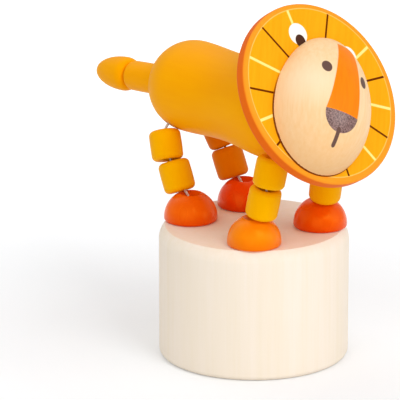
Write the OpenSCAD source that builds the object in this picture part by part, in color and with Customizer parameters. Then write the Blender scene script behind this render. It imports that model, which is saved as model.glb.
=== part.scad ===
// A wooden push puppet: a lion strung on four cords over a hollow turned base.
// A sprung button under the base keeps the cords tight. Pressing it slackens them and the lion sinks.
// The lion looks along +X, its left is +Y, and the base stands on Z = 0 with its axis on the Z axis.

/* [Base] */
// Diameter of the base
base_d = 50; // [46:1:60]
// Height of the base
base_h = 35; // [32:1:45]
// Rounding of the base's top edge
base_top_round = 3.75; // [1:0.25:5]
// Rounding of the base's bottom edge
base_bottom_round = 1.5; // [0.5:0.25:2.5]
// Wall around the hollow under the base
base_wall = 4.5; // [4:0.25:6]
// Wood left above the hollow
base_roof = 8; // [6:0.5:10]
// Depth of the spring's seat in the roof of the hollow
spring_seat = 1.5; // [1:0.25:3]

/* [Button and spring] */
// Thickness of the push button
button_t = 7; // [6:0.5:9]
// How far the button sits above the table
button_recess = 1.5; // [1:0.25:3]
// How far the button can be pressed
button_travel = 8; // [4:0.5:9]
// Gap between the button and the wall of the hollow
button_gap = 0.4; // [0.3:0.05:0.8]
// Rounding of the button's edges
button_round = 1; // [0.5:0.25:1.5]
// Distance of the cord holes from the button's axis
button_cord_r = 15; // [14:0.25:16]
// Mean diameter of the return spring
spring_d = 19; // [15:0.5:21]
// Wire of the return spring
spring_wire = 1.2; // [0.8:0.1:1.5]
// Turns of the return spring
spring_turns = 5; // [4:0.5:6]

/* [Cords] */
// Thickness of the cords
cord_d = 0.8; // [0.6:0.1:1]
// Thickness of a knot
knot_d = 2.4; // [2:0.1:2.6]
// Length of a knot
knot_l = 3; // [2.5:0.25:3.5]
// Gap around a knot in its pocket
knot_gap = 0.4; // [0.3:0.05:0.6]
// Cord between the mane disc and its knots
knot_lift = 0.6; // [0.5:0.05:0.8]
// Gap between two cords in one bore
cord_pair_gap = 0.3; // [0.2:0.05:0.4]
// Cord holes through the base, the feet and the mane disc
cord_hole_d = 3; // [2.6:0.1:3.4]
// Cord holes through the button
button_hole_d = 2.2; // [1.8:0.1:2.4]
// Widening at the mouths of the bead bores and the hip holes
hole_mouth = 0.8; // [0.6:0.1:0.9]
// Widening at the top of a foot's cord hole
foot_mouth = 1; // [0.8:0.1:1.2]
// Gap at which parts seat on one another
seat_gap = 0.25; // [0.2:0.05:0.4]

/* [Feet] */
// Diameter of a domed foot
foot_d = 14.1; // [12:0.1:15]
// Height of a foot
foot_h = 8; // [7.5:0.1:9]
// Rounding under a foot's edge
foot_round = 0.7; // [0.3:0.1:0.8]
// Front feet ahead of the base's axis
front_foot_x = 12.75; // [11:0.25:14]
// Front feet to each side of the middle
front_foot_y = 11.85; // [9:0.15:12.5]
// Rear feet behind the base's axis
rear_foot_x = 14.2; // [12:0.1:15]
// Rear feet to each side of the middle
rear_foot_y = 9.55; // [8.2:0.15:11]

/* [Legs] */
// Diameter of a leg bead
bead_d = 8.4; // [7.5:0.1:9]
// Length of a leg bead
bead_l = 8; // [7:0.1:9.5]
// Bore through the leg beads and the tail's root
bead_bore = 3.2; // [2.8:0.1:3.4]
// Forward lean of the front legs, in degrees
front_leg_lean = 14; // [6:0.5:18]
// Inward lean of the front legs, in degrees
front_leg_inward = 3.5; // [0:0.5:8]
// Forward tilt of the front shin beads, in degrees
front_shin_lean = 11.5; // [4:0.5:16]
// Inward tilt of the front shin beads, in degrees
front_shin_inward = 3.5; // [0:0.5:8]
// Forward tilt of the front thigh beads, in degrees
front_thigh_lean = 4.5; // [0:0.5:12]
// Inward tilt of the front thigh beads, in degrees
front_thigh_inward = 10; // [2:0.5:14]
// Backward lean of the rear legs, in degrees
rear_leg_lean = 29; // [20:0.5:32]
// Inward lean of the rear legs, in degrees
rear_leg_inward = 0; // [0:0.5:6]
// Backward tilt of the rear shin beads, in degrees
rear_shin_lean = 24.5; // [18:0.5:28]
// Inward tilt of the rear shin beads, in degrees
rear_shin_inward = 1; // [0:0.5:6]
// Backward tilt of the rear thigh beads, in degrees
rear_thigh_lean = 24; // [18:0.5:28]
// Inward tilt of the rear thigh beads, in degrees
rear_thigh_inward = 10; // [2:0.5:14]

/* [Torso] */
// Radius of the rounded rump
rump_r = 12.2; // [11:0.1:13.5]
// Radius of the rounded chest
chest_r = 13; // [11.5:0.1:14]
// Distance from the middle of the rump to the middle of the chest
torso_span = 33.1; // [30:0.1:36]
// How far the waist is drawn in
waist_dip = 1; // [0.5:0.05:2]
// Middle of the rump behind the base's axis
rump_back = 23.3; // [22:0.1:25]
// Bore along the torso
torso_bore = 5; // [4.6:0.1:6]
// Bore at the neck
neck_bore = 4.4; // [3.6:0.1:4.5]
// Holes at the hips
hip_hole = 3.2; // [2.8:0.1:3.6]

/* [Head] */
// Diameter of the mane disc
mane_d = 48.8; // [44:0.1:52]
// Thickness of the mane disc
mane_t = 4; // [3.5:0.25:6]
// Rounding of the mane disc's rim
mane_round = 1.1; // [0.5:0.1:1.6]
// How far the head looks up, in degrees
head_pitch = 30.5; // [15:0.5:40]
// How far the head leans to its left, in degrees
head_roll = 30; // [0:1:40]
// Cord hole above the middle of the mane disc
neck_rise = 0.85; // [0:0.05:4]
// Length of the face, from brow to chin
face_l = 39.4; // [34:0.1:40]
// Width of the face
face_w = 28.7; // [24:0.1:30]
// How much fuller the face is at the chin
face_swell = 0.13; // [0:0.01:0.2]
// Middle of the face below the middle of the mane disc
face_drop = 3.8; // [2:0.1:4.2]
// How far the face is turned on the mane disc, in degrees
face_turn = 6; // [0:0.5:10]
// Thickness sawn off the back of the half egg
face_saw = 1.6; // [0:0.1:2.5]
// Room for the knots behind the face
knot_room_d = 7; // [6.4:0.1:8]
// Depth of the room for the knots
knot_room_h = 5; // [4:0.25:6]

/* [Tail] */
// Droop of the tail, in degrees
tail_droop = 4.5; // [0:0.5:10]
// Diameter of the tail's root bead
tail_root_d = 8; // [7:0.1:9]
// Length of the tail's root bead
tail_root_l = 12.6; // [9:0.1:14]
// Diameter of the tail's tip
tail_tip_d = 9.2; // [8:0.1:10]
// Length of the tail's tip
tail_tip_l = 13.2; // [11:0.1:15]
// Widest place of the tail's tip, from its flat end
tail_tip_belly = 3.4; // [2:0.1:5]
// Depth of the cord hole in the tail's tip
tail_hole_depth = 8; // [6:0.25:9]

/* [Hidden] */
$fn = 96;

// Ends and sides of the animal
front = 0;
rear = 1;
left = 1;
right = -1;

// Leg values by end, with forward positive
foot_x = [front_foot_x, -rear_foot_x];
foot_y = [front_foot_y, rear_foot_y];
leg_lean = [front_leg_lean, -rear_leg_lean];
leg_inward = [front_leg_inward, rear_leg_inward];
shin_lean = [front_shin_lean, -rear_shin_lean];
shin_inward = [front_shin_inward, rear_shin_inward];
thigh_lean = [front_thigh_lean, -rear_thigh_lean];
thigh_inward = [front_thigh_inward, rear_thigh_inward];

// Radii and levels worked out from the sizes above
base_r = base_d / 2;
bore_r = base_r - base_wall;
roof_z = base_h - base_roof;
seat_z = roof_z + spring_seat;
button_r = bore_r - button_gap;
button_top = button_recess + button_t;
foot_r = foot_d / 2;
bead_r = bead_d / 2;
cord_r = cord_d / 2;
cord_hole_r = cord_hole_d / 2;
spring_l = seat_z - button_top - 2 * seat_gap;
spring_steps = 8;
spring_sides = 6;
spring_inner_r = spring_d / 2 * cos(180 / spring_steps) - spring_wire / 2;
spring_pitch = (spring_l - spring_wire) / spring_turns;
knot_pocket_r = knot_d / 2 + knot_gap;
knot_pocket_h = knot_l + knot_gap;

// A bead is rounded from its side to the mouth of its bore
function bead_edge(r) = r - bead_bore / 2 - hole_mouth;
bead_round = bead_edge(bead_r);
tail_round = bead_edge(tail_root_d / 2);

// Cutters run this far past the faces that they cut
past = 1;

// A point on an arc, for turned profiles
function arc(c, r, from, to, steps) =
  [for (i = [0 : steps]) c + r * [cos(from + (to - from) * i / steps), sin(from + (to - from) * i / steps)]];

// The unit vector along a
function unit(a) = a / norm(a);

// A direction that leans forward and inward from straight up
function lean_dir(lean, inward, side) =
  [sin(lean) * cos(inward), -side * sin(inward), cos(lean) * cos(inward)];

function leg_line(end, side) = lean_dir(leg_lean[end], leg_inward[end], side);
function shin_axis(end, side) = lean_dir(shin_lean[end], shin_inward[end], side);
function thigh_axis(end, side) = lean_dir(thigh_lean[end], thigh_inward[end], side);

// Where each leg's pieces sit. A shin bead lies on its foot's dome, a thigh bead on its shin bead.
function dome_mid(end, side) = [foot_x[end], side * foot_y[end], base_h + foot_h - foot_r];
function tilted_reach(a) =
  (bead_l / 2 - bead_round) * cos(a) + (bead_r - bead_round) * sin(a) + bead_round;
function leg_point(end, side, level) =
  dome_mid(end, side) + leg_line(end, side) * level / (shin_axis(end, side) * leg_line(end, side));
function shin_mid(end, side) = leg_point(end, side, foot_r + seat_gap + bead_l / 2);
function bend(end) = acos(min(1, shin_axis(end, left) * thigh_axis(end, left)));
function thigh_mid(end, side) =
  leg_point(end, side, foot_r + 2 * seat_gap + bead_l + tilted_reach(bend(end)));
function thigh_top(end, side) = thigh_mid(end, side) + thigh_axis(end, side) * bead_l / 2;

// The torso's turned outline between the middles of the rump and the chest
function torso_r(s) =
  rump_r + (chest_r - rump_r) * (3 * s * s - 2 * s * s * s) - waist_dip * pow(sin(180 * s), 2);

// The torso rests on the rounded upper edges of the thigh beads
rump_x = -rump_back;
chest_x = rump_x + torso_span;
function belly_r(x) =
  x < rump_x ? sqrt(max(0, pow(rump_r + bead_round + seat_gap, 2) - pow(x - rump_x, 2))) :
  x > chest_x ? sqrt(max(0, pow(chest_r + bead_round + seat_gap, 2) - pow(x - chest_x, 2))) :
  torso_r((x - rump_x) / torso_span) + bead_round + seat_gap;
function axis_over(p) = p.z + sqrt(max(0, pow(belly_r(p.x), 2) - p.y * p.y));
function thigh_edge(end, a) =
  let (u = thigh_axis(end, left), v = unit(cross([0, 1, 0], u)), w = cross(u, v))
  thigh_mid(end, left) + u * (bead_l / 2 - bead_round) + (bead_r - bead_round) * (v * cos(a) + w * sin(a));
function axis_height(end) = max([for (a = [0 : 5 : 355]) axis_over(thigh_edge(end, a))]);

hip_x = [thigh_top(front, left).x, thigh_top(rear, left).x];
torso_pitch = atan((axis_height(front) - axis_height(rear)) / (hip_x[front] - hip_x[rear]));
function torso_point(x) = [x, 0, axis_height(rear) + (x - hip_x[rear]) * tan(torso_pitch)];
torso_dir = [cos(torso_pitch), 0, sin(torso_pitch)];
rump_mid = torso_point(rump_x);
chest_mid = rump_mid + torso_span * torso_dir;

// The head lies against the chest, and the tail against the rump
head_dir = [cos(head_pitch), 0, sin(head_pitch)];
neck_point = chest_mid + (chest_r + seat_gap) * head_dir;
tail_dir = [-cos(tail_droop), 0, -sin(tail_droop)];
tail_root_mid = rump_mid + (rump_r + seat_gap + tail_root_l / 2) * tail_dir;
tail_tip_start = rump_mid + (rump_r + 2 * seat_gap + tail_root_l) * tail_dir;

// Moves children to p and turns their Z axis along v
module along(p, v) {
  translate(p)
    rotate([0, acos(v.z / norm(v)), atan2(v.y, v.x)])
      children();
}

module at_head() {
  along(neck_point, head_dir)
    rotate([0, 0, -head_roll])
      children();
}

// A straight hole from p to q, widened toward q
module widened_hole(p, q, r, mouth) {
  run = norm(q - p);
  along(p, q - p)
    rotate_extrude()
      polygon([[0, 0], [r, 0], [r, run - 2 * mouth], [r + 2 * mouth, run], [0, run]]);
}

// A turned bead along Z with rounded edges and a bore that widens at both mouths
module bead(r, l) {
  round = bead_edge(r);
  inner = bead_bore / 2;
  rotate_extrude()
    polygon(concat(
      arc([r - round, -l / 2 + round], round, -90, 0, 6),
      arc([r - round, l / 2 - round], round, 0, 90, 6),
      [[inner, l / 2 - hole_mouth], [inner, -l / 2 + hole_mouth]]
    ));
}

// A tube with a radius at each point, swept along points that never run along the vector aside
cord_sides = 8;
function direction(points, i) = unit(points[min(i + 1, len(points) - 1)] - points[max(i - 1, 0)]);
function ring(p, d, r, sides, aside) =
  let (v = unit(cross(aside, d)), w = cross(d, v))
  [for (k = [0 : sides - 1]) p + r * (v * cos(360 * k / sides) + w * sin(360 * k / sides))];

module tube(points, radii, sides, aside) {
  n = len(points);
  rings = [for (i = [0 : n - 1]) each ring(points[i], direction(points, i), radii[i], sides, aside)];
  walls = [for (i = [0 : n - 2], k = [0 : sides - 1])
    let (a = i * sides + k, b = i * sides + (k + 1) % sides)
    each [[a, a + sides, b], [b, a + sides, b + sides]]];
  caps = [for (k = [1 : sides - 2])
    each [[0, k, k + 1], [(n - 1) * sides, (n - 1) * sides + k + 1, (n - 1) * sides + k]]];
  polyhedron(points = rings, faces = concat(walls, caps));
}

// A route with its corners cut by a share of the runs beside them, and the ends kept
corner_cut = 0.28;
function eased(points) = concat(
  [points[0]],
  [for (i = [1 : len(points) - 2], k = [-1, 1]) points[i] + (points[i + k] - points[i]) * corner_cut],
  [points[len(points) - 1]]
);

module base_shell() {
  color("blanchedalmond")
    difference() {
      rotate_extrude()
        polygon(concat(
          arc([base_r - base_bottom_round, base_bottom_round], base_bottom_round, -90, 0, 6),
          arc([base_r - base_top_round, base_h - base_top_round], base_top_round, 0, 90, 8),
          [[0, base_h], [0, seat_z], [spring_d / 2 + spring_wire, seat_z]],
          [[spring_d / 2 + spring_wire, roof_z], [bore_r, roof_z], [bore_r, 0]]
        ));
      for (end = [front, rear], side = [left, right])
        translate([foot_x[end], side * foot_y[end], roof_z - past])
          cylinder(r = cord_hole_r, h = base_roof + 2 * past);
    }
}

function button_hole(end, side) = button_cord_r * unit([foot_x[end], side * foot_y[end]]);

// The button's stem guides the spring, and meets the roof of the hollow at the end of the press
module push_button() {
  stem_r = spring_inner_r - 2 * seat_gap;
  stem_top = seat_z - seat_gap - button_travel;
  color("wheat")
    difference() {
      rotate_extrude()
        polygon(concat(
          [[0, button_recess]],
          arc([button_r - button_round, button_recess + button_round], button_round, -90, 0, 4),
          arc([button_r - button_round, button_top - button_round], button_round, 0, 90, 4),
          [[stem_r, button_top], [stem_r, stem_top], [0, stem_top]]
        ));
      for (end = [front, rear], side = [left, right])
        translate(button_hole(end, side)) {
          cylinder(d = button_hole_d, h = button_top + past);
          cylinder(r = knot_pocket_r, h = button_recess + knot_pocket_h);
        }
    }
}

// The spring's wire, with points for each turn and a measure of the gap between its turns
spring_points = [for (i = [0 : spring_turns * spring_steps])
  [cos(360 * i / spring_steps) * spring_d / 2, sin(360 * i / spring_steps) * spring_d / 2,
   button_top + seat_gap + spring_wire / 2 + spring_pitch * i / spring_steps]];
next_turn = spring_steps - 2;
spring_gap = min([for (i = [0 : len(spring_points) - 1], k = [i + next_turn : 1 : len(spring_points) - 1])
  norm(spring_points[i] - spring_points[k])]) - spring_wire;
echo(str("least gap between the spring's turns: ", spring_gap, " mm"));

module return_spring() {
  color("silver")
    tube(spring_points, [for (p = spring_points) spring_wire / 2], spring_sides, [0, 0, 1]);
}

// A domed foot with a widened cord hole, glued to the base
module foot(end, side) {
  dome_z = foot_h - foot_r;
  color("orangered")
    translate([foot_x[end], side * foot_y[end], base_h])
      difference() {
        rotate_extrude()
          polygon(concat(
            [[0, 0]],
            arc([foot_r - foot_round, foot_round], foot_round, -90, 0, 4),
            arc([0, dome_z], foot_r, 0, 90, 16)
          ));
        translate([0, 0, -past])
          cylinder(r = cord_hole_r, h = foot_h + 2 * past);
        translate([0, 0, foot_h - 2 * foot_mouth])
          cylinder(r1 = cord_hole_r, r2 = cord_hole_r + 2 * foot_mouth, h = 2 * foot_mouth);
      }
}

module shin(end, side) {
  color("orange")
    along(shin_mid(end, side), shin_axis(end, side))
      bead(bead_r, bead_l);
}

module thigh(end, side) {
  color("orange")
    along(thigh_mid(end, side), thigh_axis(end, side))
      bead(bead_r, bead_l);
}

// The hip holes are drilled to the middles of the chest and the rump
hip_root = [chest_mid, rump_mid];

module torso() {
  steps = 16;
  color("orange")
    difference() {
      along(rump_mid, torso_dir)
        rotate_extrude()
          polygon(concat(
            arc([0, 0], rump_r, -90, 0, 16),
            [for (i = [1 : steps - 1]) [torso_r(i / steps), torso_span * i / steps]],
            arc([0, torso_span], chest_r, 0, 90, 16)
          ));
      along(rump_mid - torso_dir * (rump_r + past), torso_dir)
        cylinder(d = torso_bore, h = rump_r + torso_span + 2 * past);
      along(chest_mid, head_dir)
        cylinder(d = neck_bore, h = chest_r + past);
      for (end = [front, rear], side = [left, right])
        widened_hole(hip_root[end], thigh_top(end, side), hip_hole / 2, hole_mouth);
    }
}

module mane_disc() {
  color("darkorange")
    at_head()
      difference() {
        translate([neck_rise, 0, 0])
          rotate_extrude()
            polygon(concat(
              [[0, 0]],
              arc([mane_d / 2 - mane_round, mane_round], mane_round, -90, 0, 5),
              arc([mane_d / 2 - mane_round, mane_t - mane_round], mane_round, 0, 90, 5),
              [[0, mane_t]]
            ));
        translate([0, 0, -past])
          cylinder(r = cord_hole_r, h = mane_t + 2 * past);
      }
}

// Half of a turned egg, sawn lengthwise and glued to the mane disc
module face_block() {
  steps = 24;
  reach = face_l + face_w;
  color("peachpuff")
    at_head()
      difference() {
        translate([neck_rise + face_drop, 0, mane_t - face_saw])
          rotate([0, 90, -face_turn])
            rotate_extrude()
              polygon([for (i = [0 : steps])
                let (s = -cos(180 * i / steps))
                [face_w / 2 * sin(180 * i / steps) * (1 + face_swell * s), face_l / 2 * s]]);
        translate([-reach, -reach, mane_t - 2 * reach])
          cube(2 * reach);
        translate([0, 0, mane_t - past])
          cylinder(d = knot_room_d, h = knot_room_h + past);
      }
}

module tail_root() {
  color("orange")
    along(tail_root_mid, tail_dir)
      bead(tail_root_d / 2, tail_root_l);
}

// The tail's tip: an egg with a flat, rounded end toward the body
module tail_tip() {
  tip_r = tail_tip_d / 2;
  flat_r = tail_root_d / 2 - tail_round;
  edge_steps = 5;
  steps = 14;
  color("orange")
    along(tail_tip_start, tail_dir)
      difference() {
        rotate_extrude()
          polygon(concat(
            [[0, 0], [flat_r, 0]],
            [for (i = [1 : edge_steps])
              let (a = 90 * i / edge_steps)
              [flat_r + (tip_r - flat_r) * sin(a), tail_tip_belly * (1 - cos(a))]],
            [for (i = [1 : steps])
              let (a = 90 * i / steps)
              [tip_r * cos(a), tail_tip_belly + (tail_tip_l - tail_tip_belly) * sin(a)]]
          ));
        translate([0, 0, -past])
          cylinder(d = bead_bore, h = tail_hole_depth + past);
      }
}

// A cord's way from its knot under the button up to the torso's bore.
// In a bead it leans toward the next piece, by half of the room that the bore leaves.
bore_lean = (bead_bore / 2 - cord_r) / 2;
bead_depth = 2 * hole_mouth;
cord_apart = (cord_d + cord_pair_gap) / 2;
knot_apart = (knot_d + cord_pair_gap) / 2;
function bead_near(mid, axis, sign, toward) =
  let (p = mid + sign * axis * (bead_l / 2 - bead_depth), off = toward - p, flat = off - axis * (off * axis))
  p + unit(flat) * min(bore_lean, norm(flat));
function foot_near(end, side) =
  let (p = [foot_x[end], side * foot_y[end], base_h + foot_h - foot_mouth],
       off = shin_mid(end, side) - p, flat = [off.x, off.y, 0])
  p + unit(flat) * min(cord_hole_r, norm(flat));

// Shares of a knot's length between which it is at its thickest, and places along a hip hole
knot_full = [0.25, 0.75];
hip_places = [0.7, 0.3, 0];
function knot_route(p, v) = [p, p + v * knot_full[0], p + v * knot_full[1], p + v];
function leg_route(end, side) =
  let (shin_p = shin_mid(end, side), su = shin_axis(end, side),
       thigh_p = thigh_mid(end, side), tu = thigh_axis(end, side),
       hole = concat(button_hole(end, side), [0]), foot_p = [foot_x[end], side * foot_y[end], 0],
       hip_p = thigh_top(end, side), root = hip_root[end] + [0, side * cord_apart, 0])
  concat(
    [
      hole + [0, 0, button_top],
      foot_p + [0, 0, roof_z],
      foot_p + [0, 0, base_h + foot_h - 3 * foot_mouth],
      foot_near(end, side),
      bead_near(shin_p, su, -1, foot_near(end, side)),
      bead_near(shin_p, su, 1, thigh_p - tu * bead_l / 2),
      bead_near(thigh_p, tu, -1, shin_p + su * bead_l / 2),
      hip_p - tu * bead_depth,
      hip_p
    ],
    [for (t = hip_places) root + (hip_p - root) * t]
  );

// The front cords end in knots behind the face, the rear cords in glue in the tail's tip.
// The turn into the neck or the tail ends at this share of the chest's or the rump's radius.
bore_turn = 0.3;
function neck_route(side) =
  let (a = [0, side * cord_apart, 0])
  [
    chest_mid + head_dir * chest_r * bore_turn + a,
    neck_point + a,
    neck_point + head_dir * mane_t + a
  ];
function tail_route(side) =
  let (a = [0, side * cord_apart, 0])
  [
    rump_mid + tail_dir * rump_r * bore_turn + a,
    tail_root_mid + a,
    tail_tip_start + tail_dir * (tail_hole_depth - knot_gap) + a
  ];

module cord(end, side) {
  hole = button_hole(end, side);
  low_knot = knot_route([hole.x, hole.y, button_recess + knot_gap], [0, 0, knot_l]);
  high_start = neck_point + head_dir * (mane_t + knot_lift) + [0, side * knot_apart, 0];
  high_knot = end == front ? knot_route(high_start, head_dir * knot_l) : [];
  body_way = end == front ? neck_route(side) : tail_route(side);
  way = eased(concat([low_knot[3]], leg_route(end, side), body_way));
  knot_radii = [cord_r, knot_d / 2, knot_d / 2];
  points = concat([low_knot[0], low_knot[1], low_knot[2]], way, high_knot);
  radii = concat(
    knot_radii,
    [for (p = way) cord_r],
    end == front ? concat(knot_radii, [cord_r]) : []
  );
  color("antiquewhite")
    tube(points, radii, cord_sides, [0, 1, 0]);
}

base_shell();
push_button();
return_spring();
foot(front, left);  // foot_front_left
foot(front, right);  // foot_front_right
foot(rear, left);  // foot_rear_left
foot(rear, right);  // foot_rear_right
shin(front, left);  // shin_front_left
shin(front, right);  // shin_front_right
shin(rear, left);  // shin_rear_left
shin(rear, right);  // shin_rear_right
thigh(front, left);  // thigh_front_left
thigh(front, right);  // thigh_front_right
thigh(rear, left);  // thigh_rear_left
thigh(rear, right);  // thigh_rear_right
torso();
mane_disc();
face_block();
tail_root();
tail_tip();
cord(front, left);  // cord_front_left
cord(front, right);  // cord_front_right
cord(rear, left);  // cord_rear_left
cord(rear, right);  // cord_rear_right
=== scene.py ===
# %% [markdown]
# # A push puppet in Blender
# The puppet is a wooden lion on a round base. Its beads are strung on four cords, and a sprung button under
# the base keeps the cords tight. Pressing the button lets the lion sink.
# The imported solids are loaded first. They are the fixed frame: every piece below is made at its real size
# where the solid of the same name lies, and it moves with the same body. Most sizes are written in
# millimetres, and MM turns them into metres.

# %% Load the frame
from math import acos, asin, atan2, cos, degrees, pi, radians, sin
import bpy
from mathutils import Matrix, Vector


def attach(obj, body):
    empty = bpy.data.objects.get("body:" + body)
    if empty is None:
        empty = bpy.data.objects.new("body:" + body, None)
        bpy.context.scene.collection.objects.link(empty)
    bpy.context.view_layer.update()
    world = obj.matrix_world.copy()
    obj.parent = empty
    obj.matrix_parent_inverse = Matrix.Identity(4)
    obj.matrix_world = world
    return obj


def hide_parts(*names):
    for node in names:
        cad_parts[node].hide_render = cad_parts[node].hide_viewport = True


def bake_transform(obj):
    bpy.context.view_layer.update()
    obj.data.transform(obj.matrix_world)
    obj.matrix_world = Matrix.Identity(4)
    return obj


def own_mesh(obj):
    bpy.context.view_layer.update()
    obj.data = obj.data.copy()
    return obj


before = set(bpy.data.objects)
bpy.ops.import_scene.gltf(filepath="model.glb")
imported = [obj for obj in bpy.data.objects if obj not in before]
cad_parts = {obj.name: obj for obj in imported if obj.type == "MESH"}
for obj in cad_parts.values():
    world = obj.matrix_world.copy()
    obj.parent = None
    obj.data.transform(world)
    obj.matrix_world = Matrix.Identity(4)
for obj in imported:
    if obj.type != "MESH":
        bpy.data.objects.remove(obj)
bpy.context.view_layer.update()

MM = 0.001

# %% [markdown]
# ## Camera
# The toy was seen from its front right, a little from above, through a long lens, so its upright lines stay
# nearly parallel. A lens shift could bring the toy to its place in the frame, but it would stay in every
# other view. So the camera stands one metre away and simply looks a little beside the base's axis.

# %% Camera
azimuth, elevation = radians(46.87), radians(17.09)
view_far, aim_right, aim_up = 1.0, -0.01419, 0.00151
back = Vector((sin(azimuth) * cos(elevation), -cos(azimuth) * cos(elevation), sin(elevation)))
right = Vector((0, 0, 1)).cross(back).normalized()
upward = back.cross(right)
middle = Vector((0, 0, 0.040))
aim = middle + aim_right * right + aim_up * upward
bpy.ops.object.select_all(action="DESELECT")
bpy.ops.object.camera_add(location=middle + view_far * back)
camera = bpy.context.active_object
camera.rotation_euler = (aim - camera.location).to_track_quat("-Z", "Y").to_euler()
camera.data.sensor_width = 36
camera.data.lens = 343
bpy.context.scene.camera = camera
bpy.context.scene.view_settings.view_transform = "Standard"
print("camera at", [round(x, 3) for x in camera.location])

# %% [markdown]
# ## Turned wood
# Almost every piece of the toy comes from a lathe. A cylinder with bevelled edges would do for a plain bead,
# but not for an egg or a waist, so the lathe's own way is used for all: a single vertex is extruded along
# the half profile, and the profile is spun round the Z axis. The seam and the poles are merged, and the
# faces are turned outwards.

# %% Lathe
weld = 0.005 * MM


def alone(piece):
    bpy.ops.object.select_all(action="DESELECT")
    piece.select_set(True)
    bpy.context.view_layer.objects.active = piece


def turned(name, profile, steps=96):
    bpy.ops.object.select_all(action="DESELECT")
    bpy.ops.mesh.primitive_plane_add(size=MM)
    piece = bpy.context.active_object
    piece.name = piece.data.name = name
    bpy.ops.object.mode_set(mode="EDIT")
    bpy.ops.mesh.select_all(action="SELECT")
    bpy.ops.mesh.merge(type="CENTER")
    bpy.ops.transform.translate(value=(profile[0][0] * MM, 0, profile[0][1] * MM))
    for (r0, z0), (r1, z1) in zip(profile, profile[1:]):
        bpy.ops.mesh.extrude_vertices_move(
            TRANSFORM_OT_translate={"value": ((r1 - r0) * MM, 0, (z1 - z0) * MM)})
    bpy.ops.mesh.select_all(action="SELECT")
    bpy.ops.mesh.spin(steps=steps, angle=2 * pi, center=(0, 0, 0), axis=(0, 0, 1))
    bpy.ops.mesh.select_all(action="SELECT")
    bpy.ops.mesh.remove_doubles(threshold=weld)
    bpy.ops.mesh.normals_make_consistent(inside=False)
    bpy.ops.object.mode_set(mode="OBJECT")
    return piece


def arc(r, z, radius, start, end, steps):
    turns = [radians(start + (end - start) * i / steps) for i in range(steps + 1)]
    return [(r + radius * cos(a), z + radius * sin(a)) for a in turns]

print("lathe ready")

# %% [markdown]
# ### Placing and drilling
# A turned piece is set on its place and the place is applied, so that the object stays at the origin and its
# place is in its mesh. Holes beside the lathe's axis could be left to dark paint, but some of them show
# when the lion sinks, so they are cut with a Boolean modifier. After each cut, slivers are merged away and
# faces with many corners are split.

# %% Placing and drilling
sliver = 0.002 * MM
wood_crease = radians(38)
drill_steps = 32


def upright_to(point, axis):
    axis = Vector(axis).normalized()
    turn = Matrix.Rotation(atan2(axis.y, axis.x), 4, "Z") @ Matrix.Rotation(acos(axis.z), 4, "Y")
    return Matrix.Translation(Vector(point) * MM) @ turn


def settled(piece, place):
    piece.matrix_world = place
    alone(piece)
    bpy.ops.object.transform_apply(location=True, rotation=True, scale=True)
    return piece


def put(piece, place):
    settled(piece, place)
    bpy.ops.object.shade_smooth_by_angle(angle=wood_crease)
    return piece


def copied(piece, name):
    alone(piece)
    bpy.ops.object.duplicate(linked=False)
    twin = bpy.context.active_object
    twin.name = twin.data.name = name
    return twin


def drill(radius, start, end, place, mouth=0):
    profile = [(0, start), (radius, start), (radius, end - mouth), (radius + mouth, end), (0, end)]
    return settled(turned("drill", profile, drill_steps), place)


def bored(piece, *drills):
    for bit in drills:
        hole = piece.modifiers.new("hole", "BOOLEAN")
        hole.operation = "DIFFERENCE"
        hole.solver = "EXACT"
        hole.object = bit
        alone(piece)
        bpy.ops.object.modifier_apply(modifier=hole.name)
        bpy.data.objects.remove(bit)
        bpy.ops.object.mode_set(mode="EDIT")
        bpy.ops.mesh.select_all(action="SELECT")
        bpy.ops.mesh.remove_doubles(threshold=sliver)
        bpy.ops.mesh.dissolve_degenerate(threshold=sliver)
        bpy.ops.mesh.select_all(action="DESELECT")
        bpy.ops.mesh.select_face_by_sides(number=4, type="GREATER")
        bpy.ops.mesh.quads_convert_to_tris(ngon_method="CLIP")
        bpy.ops.object.mode_set(mode="OBJECT")
    return piece

print("drill ready")

# %% [markdown]
# ## Finishes
# The wood is stained and lightly lacquered, so the grain shows through the colour. A picture of wood could
# be wrapped round a bead, but it would stretch and show a seam. So the colour, and the fine bump of the
# grain, come from noise in the piece's own coordinates, stretched along the grain. Each finish starts from
# one shader whose gloss is set once, and small helpers keep the node trees short.

# %% Node helpers
def tone(r, g, b):
    share = [c / 255 for c in (r, g, b)]
    return [c / 12.92 if c <= 0.04045 else ((c + 0.055) / 1.055) ** 2.4 for c in share] + [1]


def feed(tree, socket, value):
    if isinstance(value, bpy.types.NodeSocket):
        tree.links.new(value, socket)
    else:
        socket.default_value = value


def calc(tree, operation, a, b=0.0, c=0.0):
    node = tree.nodes.new("ShaderNodeMath")
    node.operation = operation
    for socket, value in zip(node.inputs, (a, b, c)):
        feed(tree, socket, value)
    return node.outputs[0]


def plus(tree, a, b):
    return calc(tree, "ADD", a, b)


def minus(tree, a, b):
    return calc(tree, "SUBTRACT", a, b)


def times(tree, a, b):
    return calc(tree, "MULTIPLY", a, b)


def mixed(tree, share, first, second):
    node = tree.nodes.new("ShaderNodeMix")
    node.data_type = "RGBA"
    feed(tree, node.inputs["Factor"], share)
    feed(tree, node.inputs[6], first)
    feed(tree, node.inputs[7], second)
    return node.outputs[2]


def spread(tree, value, low, high, start=0.0, end=1.0):
    node = tree.nodes.new("ShaderNodeMapRange")
    for socket, number in zip(node.inputs, (value, low, high, start, end)):
        feed(tree, socket, number)
    return node.outputs[0]


def mapped(tree, place=(0, 0, 0), turn=(0, 0, 0), size=(1, 1, 1)):
    where = tree.nodes.new("ShaderNodeTexCoord")
    node = tree.nodes.new("ShaderNodeMapping")
    node.vector_type = "TEXTURE"
    tree.links.new(where.outputs["Object"], node.inputs["Vector"])
    for socket, value in zip(("Location", "Rotation", "Scale"), (place, turn, size)):
        node.inputs[socket].default_value = value
    return node.outputs[0]


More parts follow.
